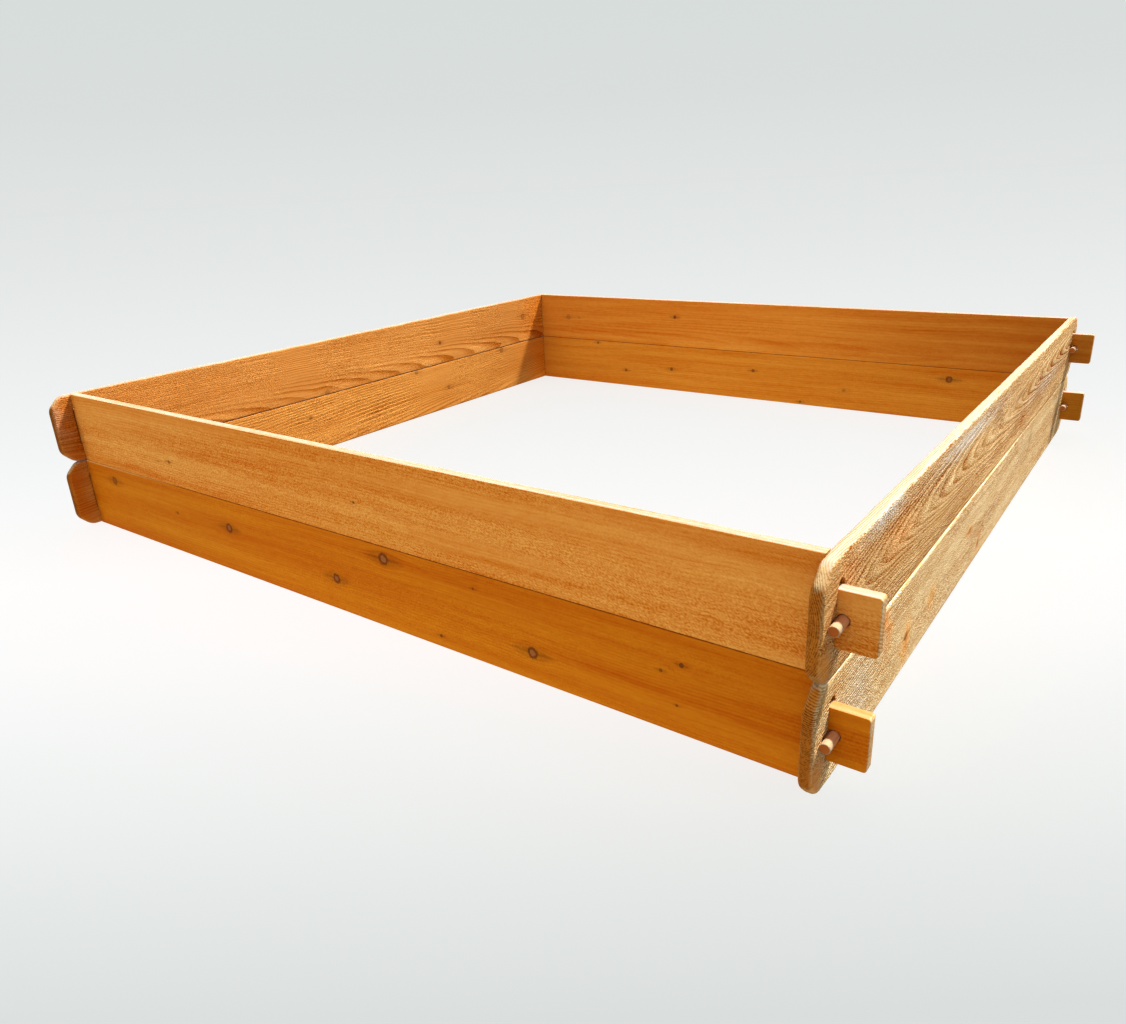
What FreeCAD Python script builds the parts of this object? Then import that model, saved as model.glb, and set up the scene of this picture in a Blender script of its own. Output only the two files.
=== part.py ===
import FreeCAD, Part
import os

# Two-tier square garden bed of through-tenoned cedar boards, locked with round wooden pegs.
# Origin: centre of the bed on the ground. +X to the right, +Y to the back, +Z up. Millimetres.

# Driving dimensions
TIER_NAMES = ["lower", "upper"]
BOARD_HEIGHT = 139.7
BOARD_THICKNESS = 16.0
CLEAR_WIDTH = 1573.0        # between the inner faces of the left and right boards
OUTER_DEPTH = 1592.0        # between the outer faces of the front and back boards

TENON_HEIGHT = 68.0
TENON_PROJECTION = 44.0     # how far a tenon stands out of the side board's outer face
TENON_CORNER_RADIUS = 4.0
TENON_BOARD_EASE = 1.5      # rounding of the long edges of the front and back boards

MORTISE_TOP_GAP = 9.5       # from the tenon to the round top of its mortise
MORTISE_BOTTOM_GAP = 1.2
MORTISE_SIDE_GAP = 1.0      # on each side of the tenon
MORTISE_BOTTOM_RADIUS = 3.0

EAR_LENGTH = 43.0           # how far a side board runs past the front and back boards
EAR_CLIP = 24.0             # leg of the 45 degree clip at each corner of a side board
EAR_CORNER_RADIUS = 24.0
SIDE_BOARD_EASE = 3.0       # rounding of the side boards' outline edges

PEG_RADIUS = 6.35
PEG_LENGTH = 70.0
PEG_CHAMFER = 1.0
PEG_HOLE_CLEARANCE = 0.08   # radial
PEG_FACE_GAP = 0.3          # from the peg to the side board's outer face

# Worked out from the driving dimensions
HALF_THICKNESS = BOARD_THICKNESS / 2
HALF_CLEAR = CLEAR_WIDTH / 2
MID_HEIGHT = BOARD_HEIGHT / 2
TENON_LENGTH = BOARD_THICKNESS + TENON_PROJECTION
HALF_TENON_BOARD = HALF_CLEAR + TENON_LENGTH
SIDE_BOARD_LENGTH = OUTER_DEPTH + 2 * EAR_LENGTH
SIDE_BOARD_X = HALF_CLEAR + HALF_THICKNESS
TENON_BOARD_Y = OUTER_DEPTH / 2 - HALF_THICKNESS
PEG_X = HALF_CLEAR + BOARD_THICKNESS + PEG_FACE_GAP + PEG_RADIUS

X_AXIS = FreeCAD.Vector(1, 0, 0)
Y_AXIS = FreeCAD.Vector(0, 1, 0)
SIDES = {"left": -1, "right": 1}
ENDS = {"front": -1, "back": 1}


def edges_along(shape, axis, wanted):
    """The straight edges of a shape that run along an axis and whose middle point is wanted."""
    found = []
    for edge in shape.Edges:
        start = edge.Vertexes[0].Point
        end = edge.Vertexes[-1].Point
        run = end - start
        straight = isinstance(edge.Curve, Part.Line)
        if straight and run.cross(axis).Length < 1e-6 and wanted((start + end) * 0.5):
            found.append(edge)
    return found


def prism(outline, direction):
    """A closed outline of points, extruded along a vector."""
    wire = Part.makePolygon(outline + outline[:1])
    return Part.Face(wire).extrude(direction)


def rod(radius, length, x, z):
    """A cylinder along Y, centred on Y = 0."""
    base = FreeCAD.Vector(x, -length / 2, z)
    return Part.makeCylinder(radius, length, base, Y_AXIS)


def tenon_board():
    """A front or back board with a tenon on each end, centred on Y = 0, standing on Z = 0."""
    tenon_low = MID_HEIGHT - TENON_HEIGHT / 2
    tenon_high = MID_HEIGHT + TENON_HEIGHT / 2
    right_end = [
        (HALF_CLEAR, 0.0),
        (HALF_CLEAR, tenon_low),
        (HALF_TENON_BOARD, tenon_low),
        (HALF_TENON_BOARD, tenon_high),
        (HALF_CLEAR, tenon_high),
        (HALF_CLEAR, BOARD_HEIGHT),
    ]
    left_end = [(-x, z) for x, z in reversed(right_end)]
    outline = [FreeCAD.Vector(x, -HALF_THICKNESS, z) for x, z in right_end + left_end]
    board = prism(outline, Y_AXIS * BOARD_THICKNESS)

    tips = edges_along(board, Y_AXIS, lambda p: abs(p.x) > HALF_TENON_BOARD - 1)
    board = board.makeFillet(TENON_CORNER_RADIUS, tips)
    long_edges = edges_along(board, X_AXIS, lambda p: abs(p.x) < 1)
    board = board.makeFillet(TENON_BOARD_EASE, long_edges)

    hole_radius = PEG_RADIUS + PEG_HOLE_CLEARANCE
    for side in SIDES.values():
        board = board.cut(rod(hole_radius, 2 * BOARD_THICKNESS, side * PEG_X, MID_HEIGHT))
    return board


def mortise_slot():
    """The through slot for one tenon, round at the top and squarer below, along the X axis."""
    radius = HALF_THICKNESS + MORTISE_SIDE_GAP
    low = MID_HEIGHT - TENON_HEIGHT / 2 - MORTISE_BOTTOM_GAP
    round_centre = MID_HEIGHT + TENON_HEIGHT / 2 + MORTISE_TOP_GAP - radius
    depth = 2 * BOARD_THICKNESS
    corner = FreeCAD.Vector(-BOARD_THICKNESS, -radius, low)
    slot = Part.makeBox(depth, 2 * radius, round_centre - low, corner)
    bottom_edges = edges_along(slot, X_AXIS, lambda p: p.z < low + 1)
    slot = slot.makeFillet(MORTISE_BOTTOM_RADIUS, bottom_edges)
    top = FreeCAD.Vector(-BOARD_THICKNESS, 0, round_centre)
    return slot.fuse(Part.makeCylinder(radius, depth, top, X_AXIS)).removeSplitter()


def side_board():
    """A left or right board with clipped ears and two mortises, centred on X = 0, on Z = 0."""
    half = SIDE_BOARD_LENGTH / 2
    back_end = [
        (half - EAR_CLIP, 0.0),
        (half, EAR_CLIP),
        (half, BOARD_HEIGHT - EAR_CLIP),
        (half - EAR_CLIP, BOARD_HEIGHT),
    ]
    front_end = [(-y, z) for y, z in reversed(back_end)]
    outline = [FreeCAD.Vector(-HALF_THICKNESS, y, z) for y, z in back_end + front_end]
    board = prism(outline, X_AXIS * BOARD_THICKNESS)

    board = board.makeFillet(EAR_CORNER_RADIUS, edges_along(board, X_AXIS, lambda p: True))
    rims = [e for e in board.Edges if abs(abs(e.CenterOfMass.x) - HALF_THICKNESS) < 1e-6]
    board = board.makeFillet(SIDE_BOARD_EASE, rims)

    for end in ENDS.values():
        slot = mortise_slot()
        slot.translate(FreeCAD.Vector(0, end * TENON_BOARD_Y, 0))
        board = board.cut(slot)
    return board


def peg():
    """A round peg along Y with chamfered ends, centred on its tenon."""
    shape = rod(PEG_RADIUS, PEG_LENGTH, 0.0, MID_HEIGHT)
    rings = [e for e in shape.Edges if isinstance(e.Curve, Part.Circle)]
    return shape.makeChamfer(PEG_CHAMFER, rings)


def write(shape, name, x=0.0, y=0.0, z=0.0):
    """Puts a shape in its place and writes it as one STEP file."""
    placed = shape.copy()
    placed.translate(FreeCAD.Vector(x, y, z))
    if not placed.isValid() or len(placed.Solids) != 1:
        raise RuntimeError(name + " is not one valid solid")
    placed.exportStep("parts/" + name + ".step")
    print(name, round(placed.Volume), "mm3")


def main():
    os.makedirs("parts", exist_ok=True)
    for tier, tier_name in enumerate(TIER_NAMES):
        z = tier * BOARD_HEIGHT
        for end_name, end in ENDS.items():
            write(tenon_board(), tier_name + "_" + end_name + "_board", y=end * TENON_BOARD_Y, z=z)
        for side_name, side in SIDES.items():
            write(side_board(), tier_name + "_" + side_name + "_board", x=side * SIDE_BOARD_X, z=z)
        for end_name, end in ENDS.items():
            for side_name, side in SIDES.items():
                name = "_".join([tier_name, end_name, side_name, "peg"])
                write(peg(), name, side * PEG_X, end * TENON_BOARD_Y, z)


main()
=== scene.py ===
import itertools
import math
from dataclasses import dataclass

import bpy
import numpy as np
from mathutils import Matrix, Vector


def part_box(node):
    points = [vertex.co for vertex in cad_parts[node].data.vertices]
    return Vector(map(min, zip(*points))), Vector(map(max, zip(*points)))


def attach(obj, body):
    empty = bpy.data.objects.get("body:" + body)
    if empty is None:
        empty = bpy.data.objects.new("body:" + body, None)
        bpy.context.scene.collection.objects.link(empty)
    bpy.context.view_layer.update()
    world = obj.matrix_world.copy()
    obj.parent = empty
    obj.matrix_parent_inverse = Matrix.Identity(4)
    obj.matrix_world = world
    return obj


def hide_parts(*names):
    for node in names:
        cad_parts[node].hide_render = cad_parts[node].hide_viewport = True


# The looks of a square two-tier garden bed of cedar boards. Metres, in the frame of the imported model.
# Each board is built in its own coordinates and then put in place: u runs along the board from its
# middle, v up from its lower edge, and w through its thickness, from the inside of the bed out.

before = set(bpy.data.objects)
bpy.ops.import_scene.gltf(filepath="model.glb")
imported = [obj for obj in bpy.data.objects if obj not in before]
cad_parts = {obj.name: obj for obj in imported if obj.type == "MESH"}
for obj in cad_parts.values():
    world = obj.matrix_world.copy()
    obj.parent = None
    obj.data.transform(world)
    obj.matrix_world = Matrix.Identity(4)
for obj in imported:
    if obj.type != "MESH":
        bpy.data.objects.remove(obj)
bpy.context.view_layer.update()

# ---------------- sizes from the frame
front_low, front_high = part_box("lower_front_board")
side_low, side_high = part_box("lower_right_board")
peg_low, peg_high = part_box("lower_front_right_peg")

BOARD_HEIGHT = front_high.z - front_low.z
THICKNESS = front_high.y - front_low.y
HALF_THICKNESS = THICKNESS / 2
MID_HEIGHT = BOARD_HEIGHT / 2
HALF_CLEAR = side_low.x
HALF_TENON_BOARD = front_high.x
HALF_SIDE_BOARD = side_high.y
TENON_BOARD_Y = -(front_low.y + front_high.y) / 2
SIDE_BOARD_X = (side_low.x + side_high.x) / 2
PEG_X = (peg_low.x + peg_high.x) / 2
PEG_RADIUS = (peg_high.x - peg_low.x) / 2
PEG_LENGTH = peg_high.y - peg_low.y

# ---------------- sizes the boxes don't give
TENON_HEIGHT = 0.068
TENON_CORNER_RADIUS = 0.004
TENON_BOARD_EASE = 0.0015
MORTISE_TOP_GAP = 0.0095
MORTISE_BOTTOM_GAP = 0.0012
MORTISE_SIDE_GAP = 0.001
MORTISE_BOTTOM_RADIUS = 0.003
EAR_CLIP = 0.024
EAR_CORNER_RADIUS = 0.024
SIDE_BOARD_EASE = 0.003
EAR_EASE = 0.0055            # the ears are rounded over more than the long edges
PEG_HOLE_RADIUS = PEG_RADIUS + 0.0009
CUT_FLARE = 0.0008           # worn edge of a slot or hole
PEG_END_EASE = 0.001
PEG_PAINTED_LIGHT_REACH = 0.011              # how far painted light reaches along the pegs' ends
CLIP_TANGENT = EAR_CORNER_RADIUS * math.tan(math.pi / 8)    # of an ear's rounded corners
RING_WIDTH = 0.0022          # of the rough boards' growth rings
RIM_WAVE = 0.0006            # how far the rough boards' upper edges wander
TRACK_START = 0.745          # where the pegs' track along the ears starts, from a board's middle
TRACK_HALF_HEIGHT = 0.0045
TRACK_RELIEF = 0.0001        # the most relief left in the track

# ---------------- how finely things are built
GRID_STEPS = {True: (0.0046, 0.00125), False: (0.006, 0.0022)}     # along and across; True if rough
KNOT_REACH = 0.018           # the grid is finer this far each way along the board from a knot
CORNER_POINTS = 6
EASE_STEPS = 4
PEG_SEGMENTS = 40
SHARP_ANGLE = math.radians(50)

TIERS = ("lower", "upper")
ENDS = ("front", "back")
SIDES = ("left", "right")
FIRST_PEG_SEED = 41


# ---------------- noise
def hashed(cells, seed):
    """A repeatable number from -1 to 1 for whole-number cells, one array per axis."""
    total = np.full(cells[0].shape, seed * 7919 + 17, np.uint32)
    for cell in cells:
        total = total ^ cell.astype(np.int64).astype(np.uint32)
        total = total * np.uint32(0x9E3779B1)
        total = total ^ (total >> np.uint32(15))
        total = total * np.uint32(0x85EBCA77)
        total = total ^ (total >> np.uint32(13))
    return total.astype(float) / 2**31 - 1


def noise(seed, *axes):
    """Smooth noise from -1 to 1 at points given by one array per axis, with cells of size 1."""
    axes = np.broadcast_arrays(*[np.asarray(a, float) for a in axes])
    cells = [np.floor(a) for a in axes]
    parts = [a - c for a, c in zip(axes, cells)]
    fades = [p * p * p * (p * (p * 6 - 15) + 10) for p in parts]
    total = np.zeros(axes[0].shape)
    for corner in itertools.product((0, 1), repeat=len(axes)):
        weight = np.ones(axes[0].shape)
        for bit, fade in zip(corner, fades):
            weight = weight * (fade if bit else 1 - fade)
        total += weight * hashed([c + bit for c, bit in zip(cells, corner)], seed)
    return total


def smooth(low, high, x):
    """0 below low, 1 above high, and a smooth step between."""
    t = np.clip((x - low) / (high - low), 0, 1)
    return t * t * (3 - 2 * t)


# ---------------- board outlines as grids
def spread(low, high, step):
    """Evenly spaced values from low to high, about a step apart."""
    return np.linspace(low, high, max(2, round((high - low) / step) + 1))


def refined(values, centres, reach, step):
    """The values with closer ones added around each centre."""
    low, high = values[0], values[-1]
    kept = list(values)
    for centre in centres:
        start, end = max(low, centre - reach), min(high, centre + reach)
        kept = [x for x in kept if not start < x < end]
        kept += list(spread(start, end, step))
    kept = np.unique(np.round(kept, 6))
    return kept[np.concatenate([[True], np.diff(kept) > step / 3])]


def face_rows(low, high, inset, ease, step):
    """Heights of the grid rows of a block, the outer two on its inset edges."""
    inner = spread(low + 2 * ease, high - 2 * ease, step)
    return np.concatenate([[low + inset], inner, [high - inset]])


def arc(turns, inset, radius):
    """Points of a rounded corner, inset from the true one, by turn from flat to upright."""
    return (radius - inset) * np.sin(turns), radius - (radius - inset) * np.cos(turns)


def side_ease(u):
    """Rounding of a side board's edges: more round the ears than along the board."""
    start = HALF_SIDE_BOARD - EAR_CLIP - CLIP_TANGENT
    return SIDE_BOARD_EASE + (EAR_EASE - SIDE_BOARD_EASE) * smooth(start - 0.03, start, np.abs(u))


def tenon_ease(u):
    """Rounding of a front or back board's edges, the same all along."""
    return np.full(np.shape(u), TENON_BOARD_EASE)


def side_grid(share, near, steps):
    """The grid of a side board's face, with clipped and rounded ears: places[i, j] is (u, v).

    The outline is drawn in by a share of the rounding of its edges.
    """
    inset = share * EAR_EASE
    turns = np.linspace(0, math.pi / 4, CORNER_POINTS)
    du, dv = arc(turns, inset, EAR_CORNER_RADIUS)
    first_u = HALF_SIDE_BOARD - EAR_CLIP - CLIP_TANGENT + du
    first_v = dv
    du, dv = arc(turns + math.pi / 4, inset, EAR_CORNER_RADIUS)
    last_u = HALF_SIDE_BOARD - EAR_CORNER_RADIUS + du
    last_v = EAR_CLIP - EAR_CORNER_RADIUS + CLIP_TANGENT + dv
    shares = np.linspace(0, 1, CORNER_POINTS)[1:-1]
    clip_u = first_u[-1] + (last_u[0] - first_u[-1]) * shares
    clip_v = first_v[-1] + (last_v[0] - first_v[-1]) * shares
    end_u = np.concatenate([first_u, clip_u, last_u])
    end_v = np.concatenate([first_v, clip_v, last_v])

    straight = spread(-first_u[0], first_u[0], steps[0])
    straight = refined(straight, near, KNOT_REACH, steps[0] / 2)[1:-1]
    u = np.concatenate([-end_u[::-1], straight, end_u])
    low = np.concatenate([end_v[::-1], share * side_ease(straight), end_v])
    rows = face_rows(0, BOARD_HEIGHT, SIDE_BOARD_EASE, SIDE_BOARD_EASE, steps[1])
    shares = (rows - rows[0]) / (rows[-1] - rows[0])
    v = low[:, None] + (BOARD_HEIGHT - 2 * low)[:, None] * shares
    places = np.stack([np.broadcast_to(u[:, None], v.shape), v], -1)
    return places, np.ones((len(u) - 1, len(rows) - 1), bool)


def tenon_grid(share, near, steps):
    """The grid of a front or back board's face: the full-height block and a tenon at each end."""
    ease = TENON_BOARD_EASE
    inset = share * ease
    tenon_low = MID_HEIGHT - TENON_HEIGHT / 2
    tenon_high = MID_HEIGHT + TENON_HEIGHT / 2
    below = np.concatenate([[inset], spread(2 * ease, tenon_low - ease, steps[1])])
    middle = face_rows(tenon_low, tenon_high, inset, ease, steps[1])
    above = BOARD_HEIGHT - below[::-1]
    rows = np.concatenate([below, middle, above])
    tenon_rows = slice(len(below), len(below) + len(middle))

    turns = np.linspace(0, math.pi / 2, CORNER_POINTS)
    du, dv = arc(turns, inset, TENON_CORNER_RADIUS)
    tip_u = HALF_TENON_BOARD - TENON_CORNER_RADIUS + du
    tenon_u = np.concatenate([spread(HALF_CLEAR + ease, tip_u[0], steps[0])[:-1], tip_u])
    tenon_inset = np.concatenate([np.full(len(tenon_u) - len(dv), inset), dv])
    shoulder = HALF_CLEAR - inset
    straight = spread(-HALF_CLEAR + 2 * ease, HALF_CLEAR - 2 * ease, steps[0])
    straight = refined(straight, near, KNOT_REACH, steps[0] / 2)
    u = np.concatenate([-tenon_u[::-1], [-shoulder], straight, [shoulder], tenon_u])

    v = np.tile(rows, (len(u), 1))
    shares = (middle - middle[0]) / (middle[-1] - middle[0])
    for columns, insets in ((slice(0, len(tenon_u)), tenon_inset[::-1]),
                            (slice(len(u) - len(tenon_u), len(u)), tenon_inset)):
        low = tenon_low + insets
        span = TENON_HEIGHT - 2 * insets
        v[columns, tenon_rows] = low[:, None] + span[:, None] * shares
    places = np.stack([np.broadcast_to(u[:, None], v.shape), v], -1)

    solid = np.ones((len(u) - 1, len(rows) - 1), bool)
    for columns in (slice(0, len(tenon_u)), slice(len(u) - 1 - len(tenon_u), len(u) - 1)):
        solid[columns, :tenon_rows.start] = False
        solid[columns, tenon_rows.stop - 1:] = False
    return places, solid


def outline_of(solid):
    """The grid points round a block of solid cells, in order, counter-clockwise."""
    after = {}
    padded = np.pad(solid, 1)
    for i, j in zip(*np.nonzero(solid)):
        if not padded[i + 1, j]:
            after[(i, j)] = (i + 1, j)
        if not padded[i + 2, j + 1]:
            after[(i + 1, j)] = (i + 1, j + 1)
        if not padded[i + 1, j + 2]:
            after[(i + 1, j + 1)] = (i, j + 1)
        if not padded[i, j + 1]:
            after[(i, j + 1)] = (i, j)
    start = min(after)
    loop = [start]
    while after[loop[-1]] != start:
        loop.append(after[loop[-1]])
    return np.array(loop)


# ---------------- wood
# Relief of the faces, in metres.
WAVINESS = 0.00010
RIDGE = 0.00050             # along the growth rings of a rough board
TUFT = 0.00006
SHRED = 0.00012
KNOT_RISE = 0.00025
KNOT_DIP = 0.00020
CREST = 0.0003              # the height that the materials take as 1

# Marks that differ on rough boards, the True entries, and planed ones.
EDGE_PAINTED_LIGHT = {True: (0.45, 0.90), False: (0.75, 0.97)}           # painted light, by how far the surface faces up or down
PAINTED_LIGHT_REACH = {True: (0.0020, 0.0038), False: (0.0010, 0.0030)}  # of the painted light strip, metres from the joint between the tiers
# Painted shade along the joint between the tiers: how far it reaches, how dark it gets, and how far each
# channel follows it.
SEAM_PAINTED_SHADE_REACH = {True: 0.0018, False: 0.0012}
SEAM_PAINTED_SHADE_DEPTH = 0.68
SHADE_POWERS = np.array((1.0, 1.25, 1.8))       # how far red, green and blue follow a shade
SEAM_PAINTED_SHADE_POWERS = np.array((1.0, 1.3, 1.8))
SHADED_CLIP = (0.44, 0.19, 0.045)               # the lower clipped corners, darker as painted shade


def fibre_places(board, u, v, w):
    """Where a point would lie in a board with no knots: the grain parts round each knot."""
    seed = board.seed
    moved = v + 0.004 * noise(seed, u / 0.35, w / 0.05) + 0.0012 * noise(seed + 1, u / 0.07, v / 0.03)
    for ku, kv, radius, _, _ in board.knots:
        across = v - kv
        reach = np.exp(-((u - ku) / (3.0 * radius)) ** 2 - (across / (1.6 * radius)) ** 2)
        moved = moved - 0.8 * across * reach
    return moved


def ring_places(board, u, v, w):
    """The growth ring at each point, in metres from the pith, which runs roughly along u."""
    pith_v, pith_w, slope_v, slope_w = board.pith
    drift = 0.006 * noise(board.seed + 2, u / 0.5) + 0.0015 * noise(board.seed + 3, u / 0.12)
    drift = drift + 0.0012 * noise(board.seed + 13, u / 0.22, v / 0.025)
    return np.hypot(v - pith_v - slope_v * u - drift, w - pith_w - slope_w * u)


def nearest_knot(board, u, v):
    """Offset from the nearest knot in knot radii, how dark that knot is here, and how open its core."""
    at = np.zeros((len(u), 3))
    core = np.zeros(len(u))
    best = np.full(len(u), 1e9)
    for ku, kv, radius, darkness, openness in board.knots:
        du = (u - ku) / radius
        dv = (v - kv) / radius
        distance = np.hypot(du / 2.5, dv)
        closer = distance < best
        best = np.where(closer, distance, best)
        at[closer] = np.column_stack([du, dv, np.full(len(u), darkness)])[closer]
        core[closer] = openness
    at[:, 2] *= 1 - smooth(3.0, 4.0, best)
    return at, core


def tornness(board, u, v, w):
    """How rough the saw left each point, up to 1.5: smooth in the calm stretches and round knots."""
    if not board.rough:
        return np.clip(board.fuzz * (0.7 + 0.9 * noise(board.seed + 6, u / 0.30, v / 0.035)), 0.02, 1)
    wander = u + 0.02 * noise(board.seed + 5, u / 0.09, v / 0.05)
    torn = 0.78 + 0.35 * noise(board.seed + 6, u / 0.12, v / 0.045, w / 0.03)
    torn = torn * (1 + 0.3 * (w > 0))
    for centre, reach in board.calm:
        torn = torn * (1 - 0.85 * np.exp(-((wander - centre) / reach) ** 4) * (w < 0))
    for ku, kv, radius, _, _ in board.knots:
        near = np.exp(-((u - ku) / (2.5 * radius)) ** 2 - ((v - kv) / (2 * radius)) ** 2)
        torn = torn * (1 - 0.9 * near)
    torn = torn * (1 - 0.7 * smooth(0.800, 0.815, np.abs(u)) * (1 - smooth(0.030, 0.055, v)))
    return np.clip(torn, 0.04, 1.5)


def relief(board, u, v, w):
    """How far each point of a board's face stands proud of the flat, in metres."""
    seed = board.seed
    across = fibre_places(board, u, v, w)
    height = WAVINESS * noise(seed + 4, u / 0.09, across / 0.03)
    if board.rough:
        ring = ring_places(board, u, across, w) + 0.0005 * noise(seed + 12, u / 0.018, v / 0.010)
        torn = tornness(board, u, v, w)
        waver = across + 0.0010 * noise(seed + 10, u / 0.03, across / 0.02)
        tufts = noise(seed + 7, u / 0.012, waver / 0.0030)
        shreds = noise(seed + 8, u / 0.060, waver / 0.0038)
        ridge = (0.5 + 0.5 * np.cos(math.pi * ring / RING_WIDTH)) ** 2 - 0.4
        ridge = ridge * smooth(-0.5, 0.3, noise(seed + 9, u / 0.30, across / 0.05))
        height = height + torn * (TUFT * tufts + SHRED * shreds) + ridge * RIDGE * np.sqrt(torn)
    knot, _ = nearest_knot(board, u, v)
    distance = np.hypot(knot[:, 0], knot[:, 1])
    here = knot[:, 2] > 0
    return height + here * (KNOT_RISE * np.exp(-(distance / 0.5) ** 2)
                            - KNOT_DIP * np.exp(-((distance - 0.8) / 0.2) ** 2))


def outward(w):
    """How far through a board each point is: 0 on its inside half, 1 on its outside half."""
    return smooth(-0.4, 0.4, w / HALF_THICKNESS)


def overlaid(colour, share, other):
    """The colours with another laid over them, by a share for each point."""
    share = share[:, None]
    return colour * (1 - share) + np.array(other) * share


def wood_colour(board, points, normals):
    """Base colour of each point: the two faces, stains and patches of painted shade and light, edges and
    clipped corners paler or darker as painted light and shade, deeper ends, a strip of painted light and
    a seam of painted shade.
    """
    u, v, w = points.T
    n_u, n_v, _ = np.abs(normals.T)
    colour = overlaid(np.array(board.inside), outward(w), board.outside)
    places = np.linspace(-HALF_SIDE_BOARD, HALF_SIDE_BOARD, len(board.tones_and_painted_shade))
    colour = colour * np.interp(u, places, board.tones_and_painted_shade)[:, None] ** SHADE_POWERS
    wu = u + 0.012 * noise(board.seed + 20, u / 0.05, v / 0.02)
    wv = v + 0.004 * noise(board.seed + 21, u / 0.04, v / 0.015)
    # Stains, and patches of painted shade and painted light, on the seen face.
    for su, sv, reach_u, reach_v, strength, stain_and_painted_light_colour in board.stains_and_painted_light:
        here = strength * np.exp(-((wu - su) / reach_u) ** 2 - ((wv - sv) / reach_v) ** 2)
        colour = overlaid(colour, here * (w * board.seen > 0), stain_and_painted_light_colour)
    # Faces that look up or down take the pale edge colour: painted light for the sunlit tops.
    colour = overlaid(colour, smooth(*EDGE_PAINTED_LIGHT[board.rough], n_v), board.edge)
    colour = overlaid(colour, smooth(0.50, 0.95, n_u), board.end)
    # Clipped corners: paler above as painted light, darker below as painted shade.
    clip = np.where((v > MID_HEIGHT)[:, None], board.clip, SHADED_CLIP)
    colour = overlaid(colour, smooth(0.75, 0.95, 2 * n_u * n_v), clip)
    seam = v if board.tier == "upper" else BOARD_HEIGHT - v
    # A strip along the joint with the other tier, lightened as painted light.
    pale = (1 - smooth(*PAINTED_LIGHT_REACH[board.rough], seam)) * board.pale(u, w)
    colour = overlaid(colour, pale, board.strip)
    # The joint itself darkened as painted shade.
    reach = SEAM_PAINTED_SHADE_REACH[board.rough]
    broken = 0.8 + 0.3 * noise(board.seed + 22, u / 0.004)
    near_face = smooth(0.5, 0.8, np.abs(w) / HALF_THICKNESS)
    dark = (1 - smooth(0.3 * reach, reach, seam)) * near_face * broken * board.seam(u, w)
    return colour * (1 - SEAM_PAINTED_SHADE_DEPTH * np.clip(dark, 0, 1))[:, None] ** SEAM_PAINTED_SHADE_POWERS


def build_board(board):
    """One board as a closed mesh in its own coordinates, with relief on both faces."""
    grid, ease_at = (side_grid, side_ease) if board.rough else (tenon_grid, tenon_ease)
    steps = GRID_STEPS[board.rough]
    near = [knot[0] for knot in board.knots]
    places, solid = grid(1.0, near, steps)
    loop = outline_of(solid)
    used = np.zeros(places.shape[:2], bool)
    for i, j in itertools.product((0, 1), repeat=2):
        used[i:solid.shape[0] + i, j:solid.shape[1] + j] |= solid
    edge = np.zeros_like(used)
    edge[loop[:, 0], loop[:, 1]] = True
    count = int(used.sum())
    index = np.full(used.shape, -1)
    index[used] = np.arange(count)

    flat = places[used]
    points = []
    for side in (-1, 1):
        face_w = np.full(count, side * HALF_THICKNESS)
        height = np.where(edge[used], 0.0, relief(board, flat[:, 0], flat[:, 1], face_w))
        # The pegs rub the highest fibres off in a level track as they slide along the ears.
        level = np.abs(flat[:, 1] - MID_HEIGHT) < TRACK_HALF_HEIGHT
        track = level & (np.abs(flat[:, 0]) > TRACK_START)
        height = np.where(track, np.minimum(height, TRACK_RELIEF), height)
        points.append(np.column_stack([flat, face_w + side * height]))

    cells = np.argwhere(solid)
    corners = [index[cells[:, 0] + i, cells[:, 1] + j] for i, j in ((0, 0), (1, 0), (1, 1), (0, 1))]
    front = np.column_stack(corners)
    faces = [front[:, ::-1], front + count]

    # The wall round the edge: eased down to the wall from each face, with rows across the wall.
    turns = np.linspace(0, math.pi / 2, EASE_STEPS + 1)[1:]
    around = index[loop[:, 0], loop[:, 1]]
    loop_ease = ease_at(flat[around, 0])
    wall = np.linspace(-1, 1, 5)[1:-1]
    layers = [(1 - math.sin(t), 1 - math.cos(t), -1) for t in turns]
    layers += [(0, 1, w) for w in wall]
    layers += [(1 - math.sin(t), 1 - math.cos(t), 1) for t in turns[::-1]]
    rings = [around]
    start = 2 * count
    for inset, depth, side in layers:
        layer = grid(inset, near, steps)[0][loop[:, 0], loop[:, 1]]
        reach = HALF_THICKNESS - loop_ease * depth
        points.append(np.column_stack([layer, side * reach]))
        rings.append(start + np.arange(len(loop)))
        start += len(loop)
    rings.append(around + count)
    for lower, upper in zip(rings[:-1], rings[1:]):
        faces.append(np.column_stack([lower, np.roll(lower, -1), np.roll(upper, -1), upper]))
    return np.concatenate(points), np.concatenate(faces)


def make_mesh(name, points, quads):
    """A mesh of four-sided faces."""
    mesh = bpy.data.meshes.new(name)
    mesh.vertices.add(len(points))
    mesh.vertices.foreach_set("co", np.ascontiguousarray(points, np.float32).ravel())
    mesh.loops.add(quads.size)
    mesh.loops.foreach_set("vertex_index", np.ascontiguousarray(quads, np.int32).ravel())
    mesh.polygons.add(len(quads))
    mesh.polygons.foreach_set("loop_start", np.arange(0, quads.size, 4, dtype=np.int32))
    mesh.update(calc_edges=True)
    mesh.validate()
    return mesh


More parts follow.
